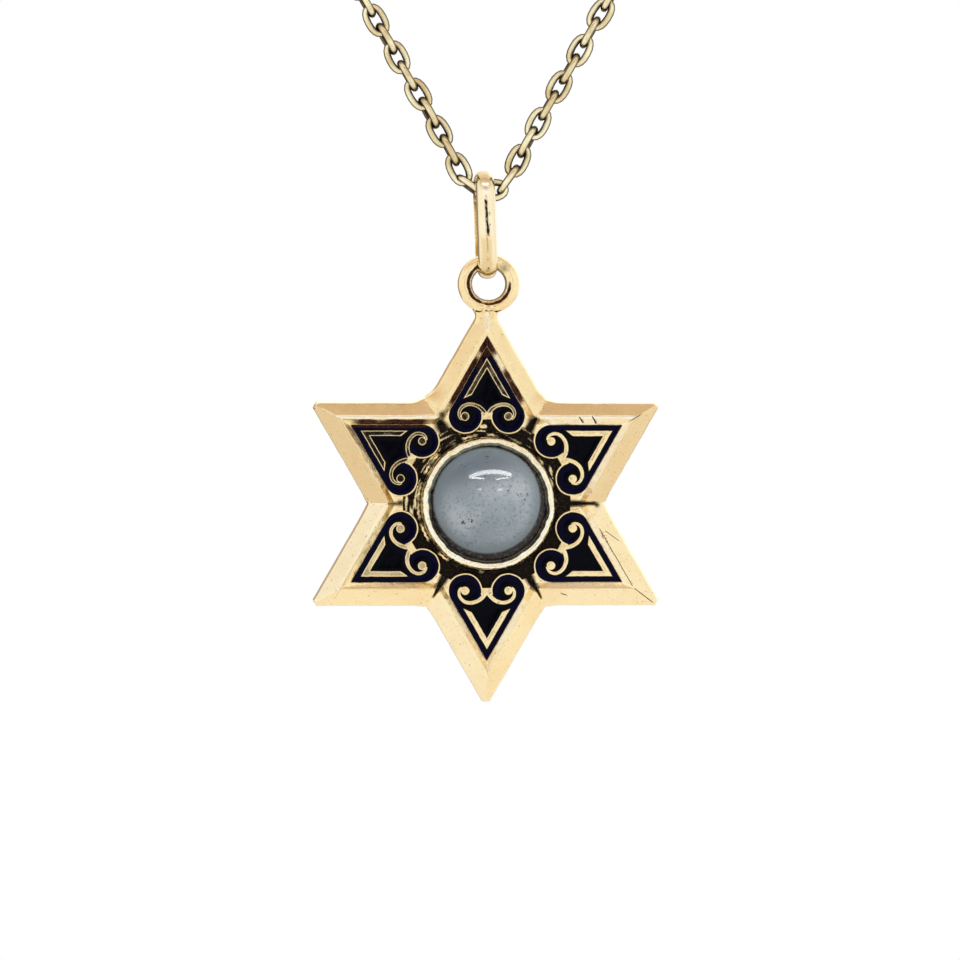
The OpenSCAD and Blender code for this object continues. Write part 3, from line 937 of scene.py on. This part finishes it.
def ringShell(shells):
    points, faces, normals = fusedRing()
    aside = (points[:, 0] - topRing["centreX"]) / topRing["wide"]
    above = points[:, 1] - topRing["centreU"]
    fromRing = np.hypot(aside, above)
    front = normals[:, 2] > 0.2
    ringPart = smooth(11.95, 12.12, points[:, 1])
    turn = np.degrees(np.arctan2(aside, above))
    faded = 1 - 0.75 * smooth(0, 30, turn) * (1 - smooth(70, 110, turn))
    foldLine = topRing["foldRadius"] + 0.03 * wobbles(points, 0.6, 19)
    fold = 1.25 * bell(fromRing - foldLine, 0.12) * front * ringPart * faded
    seamLine = 11.8 - 0.1 * np.abs(points[:, 0]) + 0.07 * wobbles(points, 0.3, 27)
    seam = bell(points[:, 1] - seamLine, 0.06) * front
    seam *= 0.35 + 0.7 * smooth(0.3, 0.65, np.abs(points[:, 0])) + 1.3 * wobbles(points, 0.2, 9)
    seam = np.clip(seam, 0, 1.1)
    flank = bell(np.abs(points[:, 0]) - 0.17, 0.045) * smooth(10.75, 11, points[:, 1])
    flank *= (1 - smooth(11.65, 11.75, points[:, 1])) * front * (0.5 + 1.1 * wobbles(points, 0.22, 31))
    points -= normals * (0.05 * fold + 0.06 * seam - 0.012 * wobbles(points, 0.5, 6))[:, None]
    worn = bell(np.hypot(points[:, 0] - 1.05, points[:, 1] - 14.4), 0.42) * front
    points -= normals * (worn * 0.03 * (1 + wobbles(points, 0.16, 15)))[:, None]
    inward = -(normals[:, 0] * aside + normals[:, 1] * (points[:, 1] - topRing["centreU"])) / fromRing
    inside = smooth(0.5, 0.9, inward) * (fromRing < topRing["middleRadius"]) * ringPart
    # Painted shade along the fold line and inside the hole, browner along the fold; dark marks along the seam
    # to the neck, in lines beside its crest and on the worn patch
    grimeAndShade = np.maximum.reduce([fold * 0.28, seam, flank, worn * 0.5, inside * 0.4])
    reddishShade = np.maximum(fold * (0.75 + 0.5 * wobbles(points, 0.4, 23)), 0.5 * inside)
    # Painted highlight down the neck's crest
    crestHighlight = bell(points[:, 0], 0.1, 4) * smooth(10.7, 10.9, points[:, 1]) * front
    crestHighlight *= 1.2 * (1 - smooth(11.6, 11.75, points[:, 1]))
    shells.add(toFrame(points), faces, np.clip(grimeAndShade, 0, 1), reddishShade, np.clip(crestHighlight, 0, 1))


starShells = Shells()
starPlate(starShells)
bezelShell(starShells)
twistedWire(starShells)
ringShell(starShells)
makePiece("starBody", starShells.points, starShells.faces, "star", "star_body", starGold,
          starShells.values)


# Enamel of one panel, in mm: it climbs a little where it meets the gold. Lines of its triangles at each inset
enamel = {"level": 1.13, "climb": 0.045, "reach": 0.07, "bottom": 0.96, "overlap": -0.012,
          "insets": (0.04, 0.09, 0.15), "step": 0.1, "scatter": 0.14}
# Browner places of the enamel, along the upper edges of the top and upper-left panels: middle, and half size
# across and up, in mm
brownTintPlaces = {"upperLeft": (-5.9, 4.74, 2.5, 0.13), "topLeft": (-0.42, 8.6, 0.16, 0.9),
               "topApex": (0, 9.3, 0.3, 0.35)}


def enamelPiece(index, name):
    sheet = Sheet()
    gap = enamel["overlap"]
    for inset in (gap, *enamel["insets"]):
        for outline in panelLines(inset):
            sheet.line(sample(outline, enamel["step"]))
    inPanel = lambda p: outlineDistance(p, panelOutline(gap)) < 0
    sheet.scatter(honeycomb(10, enamel["scatter"], inPanel))
    rightHalf = lambda p: np.column_stack([np.abs(p[:, 0]), p[:, 1]])

    def keep(p):
        kept = inPanel(p) & (outlineDistance(p, chevronOutline(gap)) > 0)
        for outline in (scrollOutline(gap), beadOutline(gap)):
            kept &= outlineDistance(rightHalf(p), outline) > 0
        return kept

    points, faces = sheet.triangles(keep)
    recess = recessDistance(rightHalf(points))
    placed = turned(points, 60 * index)
    heights = enamel["level"] + enamel["climb"] * np.exp(-np.maximum(recess, 0) / enamel["reach"])
    heights += 0.006 * wobbles(placed, 0.8, 41)
    band = 1 - smooth(0.3, 0.5, -outlineDistance(points, panelOutline(0)))
    brownTint = np.maximum.reduce([patch(placed[:, 0] - x, placed[:, 1] - u, wide, high)
                               for x, u, wide, high in brownTintPlaces.values()])
    moved = byHand(placed)
    top, allFaces = withWalls(moved, faces, heights, ((0.0, enamel["bottom"]),))[:2]
    backFirst = len(top)
    top += [(*p, enamel["bottom"]) for p in moved]
    allFaces += [tuple(backFirst + i for i in reversed(f)) for f in faces]
    spread = lambda v, fill: list(v) + [fill] * (backFirst - len(points)) + list(v)
    makePiece(name, toFrame(top), allFaces, "star", name, enamelBlue,
              {"band": spread(band, 1), "brownTint": spread(brownTint, 0)})


for index, name in enumerate(["enamel_top", "enamel_upper_right", "enamel_lower_right", "enamel_bottom",
                              "enamel_lower_left", "enamel_upper_left"]):
    enamelPiece(index, name)


# Cabochon, in mm. Its painted shade is off the middle, and painted shade darkens it towards the upper left
stone = {"radius": 3.75, "domeRadius": 4.0, "top": 4.5, "base": 1.0, "girdle": 1.4, "rounding": 0.05,
         "chamfer": 0.15, "shadeX": 0.13, "shadeU": 0.23, "upperLean": 0.35, "upperReach": 3.2, "rows": 40,
         "around": 128}


def stonePiece():
    radius, count, around = stone["radius"], stone["rows"], stone["around"]
    middle = stone["top"] - stone["domeRadius"]
    radii = [radius * math.sin(math.pi / 2 * k / count) for k in range(1, count + 1)]
    rows = [(r, middle + math.sqrt(stone["domeRadius"] ** 2 - r * r)) for r in radii]
    rows += [(radius, stone["girdle"]), (radius - stone["rounding"], stone["base"] + stone["rounding"]),
             (radius - stone["chamfer"], stone["base"])]
    points, rim, upper = [(0, 0, stone["top"])], [0.0], [0.0]
    for r, z in rows:
        for x, u in circleOutline(0, 0, r, around):
            points.append((x, u, z))
            # Painted shade values: towards the upper left, and towards the rim from a middle moved off the
            # centre
            upper.append(max(0.0, u - stone["upperLean"] * x) / stone["upperReach"])
            rim.append(math.hypot(x + stone["shadeX"], u - stone["shadeU"]) / radius)
    last = len(points) - around
    faces = [(0, 1 + i, 1 + (i + 1) % around) for i in range(around)]
    faces += gridFaces(len(rows), around, first=1, closed=False)
    faces.append(tuple(range(last, last + around)))
    return makePiece("moonstone", toFrame(points), faces, "star", "moonstone", moonstoneMilky,
                     {"rim": rim, "upper": upper})


moonstone = stonePiece()


# Bail, in mm: a domed strip bent round into a long loop. A painted dark reflection line runs down its front
# in a shallow groove between two heights, with a second one beside it and a dark spot below, and a painted
# highlight patch lies above
bailSizes = {"low": 13.75, "high": 20.36, "depth": 3.2, "thick": 0.58, "width": 1.2, "lean": 0.035,
             "shift": -0.06, "bendSteps": 32, "backSteps": 20, "frontSteps": 50, "across": 48}
bailMarks = {"streakLow": 16.2, "streakHigh": 18.6, "streakWidth": 0.07, "streakDepth": 0.015,
             "secondOff": 0.17, "secondWidth": 0.035, "secondU": 17.3, "secondHalf": 0.75, "spotX": 0.02,
             "spotU": 14.5, "spotRadius": 0.06325, "plainLow": 16, "plainHigh": 19.7, "patchX": -0.05,
             "patchU": 19.1, "patchWide": 0.2, "patchHigh": 0.45}


def bailPath():                                  # height, depth, and the direction out of the loop
    arc = (bailSizes["depth"] - bailSizes["thick"]) / 2
    low = bailSizes["low"] + bailSizes["depth"] / 2
    high = bailSizes["high"] - bailSizes["depth"] / 2
    bends = bailSizes["bendSteps"]
    runs = ((1, high, low, bailSizes["backSteps"]), (-1, low, high, bailSizes["frontSteps"]))
    path = []
    for sign, start, end, steps in runs:
        for i in range(bends + 1):
            a = math.pi * i / bends
            outU, outY = sign * math.sin(a), -sign * math.cos(a)
            path.append((start + arc * outU, arc * outY, outU, outY))
        path += [(start + (end - start) * i / steps, sign * arc, 0, sign) for i in range(1, steps)]
    return path


def bailDarkReflection(x, u):                            # how dark the painted reflection line down the front is at a place, with its second line and spot
    m = bailMarks
    middle = 0.03 - 0.1 * (u - m["streakLow"]) / 2.4 + 0.05 * wobble((u, 1, 2), 0.5, 3)
    ends = ramp(min(u - m["streakLow"], m["streakHigh"] - u), 0.15)
    streak = 1.4 * bell(x - middle, m["streakWidth"]) * ends * (0.9 + 0.7 * wobble((x, u, 0), 0.25, 8))
    second = bell(x - middle - m["secondOff"], m["secondWidth"]) * bell(u - m["secondU"], m["secondHalf"], 4)
    spot = bell(math.hypot(x - m["spotX"], u - m["spotU"]), m["spotRadius"])
    return max(streak, second * (0.5 + wobble((x, u, 1), 0.2, 4)), spot)


def bailPiece():
    points, grimeAndShade, pale = [], [], []
    path, across = bailPath(), bailSizes["across"]
    half = bailSizes["thick"] / 2
    middleU = (bailSizes["low"] + bailSizes["high"]) / 2
    for u, y, outU, outY in path:
        litBand = ramp(u - bailMarks["plainLow"], 0.4) * ramp(bailMarks["plainHigh"] - u, 0.3)
        for j in range(across):
            b = 2 * math.pi * j / across
            lift = math.sin(b)
            power = 0.95 if lift > 0 else 0.8
            x = bailSizes["width"] / 2 * math.copysign(abs(math.cos(b)) ** power, math.cos(b))
            out = half * (2 * max(lift, 0) ** 0.9 - 1) - 0.02 * min(lift, 0)
            x += 0.01 * wobble((x, u, y), 0.9, 2)
            out += 0.008 * wobble((x, u, y), 0.6, 5)
            streak = bailDarkReflection(x, u) if y < 0 < lift else 0.0
            out -= bailMarks["streakDepth"] * streak
            lit = patch(x - bailMarks["patchX"], u - bailMarks["patchU"], bailMarks["patchWide"],
                        bailMarks["patchHigh"]) * (y < 0 < lift)
            sides = ramp(abs(math.cos(b) + 0.15) - 0.4, 0.25)
            # Painted highlight between the listed heights, on the sides and in the patch; tan painted shade
            # above and below them, away from the sides
            pale.append(max(0.45 * litBand, 0.4 * sides, lit) - 0.5 * (1 - litBand) * (1 - sides))
            # Painted shade on the inside of the strip, more in the bends, with the painted dark reflection
            # line
            inner = max(0.0, -lift)
            grimeAndShade.append(max(0.1 * inner + 0.5 * inner * abs(outU), streak))
            x += bailSizes["shift"] + bailSizes["lean"] * (middleU - u)
            points.append((x, hang["middleY"] + y + outY * out, hang["centreZ"] + u + outU * out))
    faces = gridFaces(len(path), across)
    makePiece("bailLoop", np.array(points) * mm, faces, "bail", "bail", bailGold,
              {"grimeAndShade": grimeAndShade, "pale": pale})


bailPiece()


# Chain, in mm: oval links, each turned a quarter from the last. Turn, tilt and stretch are how far a loose
# link may be off, in degrees and as a share
chain = {"pitch": 1.3, "wire": 0.45, "halfWidth": 0.5, "halfLength": 0.885, "square": 0.86, "around": 10,
         "steps": 18, "shift": 0.3, "lift": 0.13, "liftReach": 1.2, "firstLink": 0.885, "turn": 9,
         "turnMiddle": 4, "tilt": 4, "stretch": 0.015, "jumpX": 2.42, "jumpRadius": 0.78, "jumpWire": 0.32,
         "jumpSteps": 28}
# Half of the route, from the clasp to the bail, listed point by point. The other half mirrors it
halfRoute = [(2.8, 0, 0), (11, -0.6, 0), (21, -2, 0), (36, -7.5, 0), (49, -17.5, -1), (56, -31, -3.5),
             (56.5, -45, -8.5), (52, -57, -16.5), (45, -66.5, -27), (36.5, -74, -40), (26.6, -79.5, -54.8),
             (17, -83.5, -69), (9.3, -85.6, -81.2), (4.8, -86, -88.9), (2.35, -86, -93.2), (1.2, -86, -95.4),
             (0, -86, -96)]


def smoothRoute(points, steps):
    p = np.array(points, dtype=float)
    path = []
    for i in range(len(p) - 1):
        before, start, end, beyond = (p[max(0, min(len(p) - 1, i + k))] for k in (-1, 0, 1, 2))
        for t in [k / steps for k in range(steps)]:
            path.append(0.5 * (2 * start + (end - before) * t
                               + (2 * before - 5 * start + 4 * end - beyond) * t * t
                               + (3 * start - before - 3 * end + beyond) * t ** 3))
    return np.array(path + [p[-1]])


def linkShape():                                 # one oval link in its own plane, long along the first axis
    steps, around = chain["steps"], chain["around"]
    power = lambda x: math.copysign(abs(x) ** chain["square"], x)
    turns = [2 * math.pi * (i + 0.5) / steps for i in range(steps)]
    length, width = chain["halfLength"], chain["halfWidth"]
    path = [(length * power(math.cos(a)), width * power(math.sin(a))) for a in turns]
    points, grimeAndShade = [], []
    for i, (x, y) in enumerate(path):
        (ax, ay), (bx, by) = path[i - 1], path[(i + 1) % steps]
        apart = math.hypot(bx - ax, by - ay)
        nx, ny = (by - ay) / apart, (ax - bx) / apart
        bent = abs(x) / length
        for j in range(around):
            b = 2 * math.pi * (j + 0.5) / around
            out, up = chain["wire"] / 2 * math.cos(b), chain["wire"] / 2 * math.sin(b)
            points.append((x + nx * out, y + ny * out, up))
            inside = max(0.0, -math.cos(b))      # the side of the wire that faces the link's hole, darkened as painted shade
            grimeAndShade.append(0.12 + 0.75 * inside + 0.3 * inside * bent)
    return np.array(points), gridFaces(steps, around), grimeAndShade


def jumpRing(side):                              # flat round the clasp's wire, for the chain's end to loop
    points, faces = torus(chain["jumpRadius"], chain["jumpWire"] / 2, chain["jumpSteps"], chain["around"])
    return (points + [side * chain["jumpX"], 0, 0]) * mm, faces, [0.15] * len(points)


# Three directions of a link: along the chain, across it and through it. It is turned by its roll and tilted
def linkAxes(along, roll, tilt):
    along = along / np.linalg.norm(along)
    face = np.cross(along, np.array([0, -1, 0]))         # in the picture's plane, across the chain
    if np.linalg.norm(face) < 0.3:
        face = np.cross(along, np.array([0, 0, 1]))
    face /= np.linalg.norm(face)
    toward = np.cross(face, along)
    wide = face * math.cos(roll) + toward * math.sin(roll)
    deep = -face * math.sin(roll) + toward * math.cos(roll)
    long = along * math.cos(tilt) + wide * math.sin(tilt)
    return long, wide * math.cos(tilt) - along * math.sin(tilt), deep


def chainPiece():
    left = [(-x, y, z) for x, y, z in halfRoute]
    path = smoothRoute(left + list(reversed(halfRoute[:-1])), 16)
    path[:, 2] += chain["lift"] * bell(path[:, 0], chain["liftReach"]) * (path[:, 2] < -90)
    lengths = np.concatenate([[0], np.cumsum(np.linalg.norm(np.diff(path, axis=0), axis=1))])
    middle = lengths[-1] / 2
    each = 2 * math.ceil((middle - chain["firstLink"]) / chain["pitch"] / 2)
    start = middle + chain["shift"]
    shape, shapeFaces, shapeGrimeAndShade = linkShape()
    shells = Shells()
    at = lambda s: np.array([np.interp(s, lengths, path[:, k]) for k in range(3)])
    for k in range(-each, each + 1):
        room = (lengths[-1] - start if k > 0 else start) - chain["firstLink"]
        s = start + k * room / each
        loose = 0.0 if abs(k) == each else 1.0   # the end links stand square in their jump rings
        off = random.uniform(-chain["turn"], chain["turn"]) + chain["turnMiddle"]
        roll = math.radians((0 if k % 2 == 0 else 90) + loose * off)
        tilt = math.radians(loose * random.uniform(-chain["tilt"], chain["tilt"]))
        long, wide, deep = linkAxes(at(s + 0.5) - at(s - 0.5), roll, tilt)
        size = 1 + random.uniform(-chain["stretch"], chain["stretch"])
        placed = at(s) + size * (shape[:, :1] * long + shape[:, 1:2] * wide + shape[:, 2:] * deep)
        shells.add(placed * mm, shapeFaces, shapeGrimeAndShade)
    for side in (-1, 1):
        shells.add(*jumpRing(side))
    makePiece("chainLinks", shells.points, shells.faces, "chain", "neck_chain", chainGold,
              {"grimeAndShade": shells.values["grimeAndShade"]})
    print("chain of", 2 * each + 1, "links, last pitch", round(room / each, 4), "mm")
    print("chain's route", round(lengths[-1], 1), "mm")


chainPiece()

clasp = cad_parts["clasp"]
clasp.data.materials.clear()
clasp.data.materials.append(chainGold)
print("clasp finished")


# The photograph looks along the star's face from a little to the left. In mm and degrees
view = {"distance": 280, "turn": -4.5, "frameWidth": 58.75, "middleX": -0.39, "middleZ": -113.56,
        "sensor": 36}
# Pale floor under the hanging pendant, in metres
floorPlace = {"half": 0.15, "middleY": -0.043, "height": -0.178, "glow": 0.11}
# The room round the pendant. Each pair is where a brighter or darker part starts and where it is full
light = {"level": 1.0, "ceiling": -0.3, "ceilingUp": (0.3, 0.95), "ceilingFront": (-0.12, 0.06),
         "tanBand": -0.25, "bandStart": (0.35, 0.6), "bandEnd": (0.82, 0.96), "bandAside": (0.15, 0.45),
         "bandFront": (0.0, 0.3), "glint": 0.9, "glintStart": (0.74, 0.79), "glintEnd": (0.86, 0.9),
         "glintFront": (0.3, 0.45), "rear": (0.3, 0.65), "rearUp": (-0.3, 0.6), "backLow": 0.3,
         "backHigh": 1.3, "dark": 0.25, "darkTurn": 0.5, "darkLift": 3.0, "darkIn": 3.0, "darkOut": 6.0,
         "warm": colour(1, 0.8, 0.68), "warmFrom": (0.02, 0.25)}
# Lamps on the stone: turn and lift of the place in degrees, distance, width and height in mm, power in watts
lamps = {"strip": (7.5, 57.5, 300, 400, 44, 0.6), "lineLeft": (-22, 45, 300, 100, 12, 0.07),
         "lineRight": (32, 43, 300, 110, 11, 0.05), "spotLeft": (-16, 25, 300, 34, 18, 0.012),
         "spotRight": (22, 24, 300, 40, 22, 0.02)}


def makeFloor():
    half = floorPlace["half"]
    corners = [(x * half, floorPlace["middleY"] + y * half, floorPlace["height"])
               for x, y in ((-1, -1), (1, -1), (1, 1), (-1, 1))]
    mesh = bpy.data.meshes.new("floor")
    mesh.from_pydata(corners, [], [(0, 1, 2, 3)])
    floor = addObject("floor", mesh)
    finish, shader, wire, where = startFinish("paleFloor")
    paper = wire.grain(where, 90, 3)
    feed(shader, Base_Color=paper.mix(colour(0.9, 0.92, 0.94), colour(0.93, 0.95, 0.97)), Roughness=0.7,
         Emission_Color=colour(1, 0.99, 0.97), Emission_Strength=floorPlace["glow"])
    mesh.materials.append(finish)


def direction(turn, lift):                       # from the star towards the viewer's side, in degrees
    a, b = math.radians(turn), math.radians(lift)
    return Vector((math.sin(a) * math.cos(b), -math.cos(a) * math.cos(b), math.sin(b)))


def makeRoom():                                  # a white room: the camera sees it even, the gold reflects it
    world = bpy.data.worlds.new("studio")
    bpy.context.scene.world = world
    world.use_nodes = True
    tree = world.node_tree
    tree.nodes.clear()
    wire = Wire(tree)
    where = wire.node("ShaderNodeTexCoord")
    dot = lambda v: wire.node("ShaderNodeVectorMath", {"operation": "DOT_PRODUCT"}, {0: where, 1: v}, out=1)
    up = dot((0, 0, 1))
    front = dot((0, -1, 0))
    steep = wire.math("ABSOLUTE", up)
    aside = wire.math("ABSOLUTE", dot((1, 0, 0)))
    ceiling = up.between(*light["ceilingUp"]) * front.between(*light["ceilingFront"])
    band = steep.between(*light["bandStart"]) * (1 - steep.between(*light["bandEnd"]))
    band = band * (1 - aside.between(*light["bandAside"])) * front.between(*light["bandFront"])
    glint = up.between(*light["glintStart"]) * (1 - up.between(*light["glintEnd"]))
    glint = glint * front.between(*light["glintFront"])
    sky = light["level"] + ceiling * light["ceiling"] + band * light["tanBand"] + glint * light["glint"]
    rear = (0 - front).between(*light["rear"])
    rearSky = dot((0.6, 0, 0.8)).between(*light["rearUp"], light["backLow"], light["backHigh"])
    sky = sky * (1 - rear) + rear * rearSky
    facing = dot(direction(light["darkTurn"], light["darkLift"]))
    edge, core = (math.cos(math.radians(light[k])) for k in ("darkOut", "darkIn"))
    dark = facing.between(edge, core)
    bright = sky * (1 - dark) + dark * light["dark"]
    seen = wire.node("ShaderNodeLightPath")
    strength = seen + bright * (1 - seen)
    warmth = (light["level"] - sky).between(*light["warmFrom"]) * (1 - seen)
    tint = warmth.mix(colour(1, 1, 1), light["warm"])
    shade = wire.node("ShaderNodeBackground", {}, {"Color": tint, "Strength": strength})
    wire.node("ShaderNodeOutputWorld", {}, {"Surface": shade})


def makeLamps():                                 # they light the stone alone
    star = Vector((0, hang["middleY"], hang["centreZ"])) * mm
    onStone = bpy.data.collections.new("onStone")
    onStone.objects.link(moonstone)
    for name, (turn, lift, distance, width, height, power) in lamps.items():
        lamp = bpy.data.lights.new(name, "AREA")
        lamp.shape = "RECTANGLE"
        lamp.size = width * mm
        lamp.size_y = height * mm
        lamp.energy = power
        piece = addObject(name, lamp)
        away = direction(turn, lift)
        piece.location = star + away * distance * mm
        piece.rotation_euler = away.to_track_quat("Z", "Y").to_euler()
        piece.light_linking.receiver_collection = onStone


def makeCamera():
    data = bpy.data.cameras.new("camera")
    camera = addObject("camera", data)
    target = Vector((view["middleX"], hang["middleY"], view["middleZ"])) * mm
    back = direction(view["turn"], 0)
    camera.location = target + back * view["distance"] * mm
    camera.rotation_euler = back.to_track_quat("Z", "Y").to_euler()
    data.sensor_width = view["sensor"]
    data.lens = view["sensor"] * view["distance"] / view["frameWidth"]
    data.clip_start = 0.01
    data.clip_end = 5
    bpy.context.scene.camera = camera


makeFloor()
makeRoom()
makeLamps()
makeCamera()
bpy.context.scene.view_settings.view_transform = "Standard"
print("floor, light and camera placed")
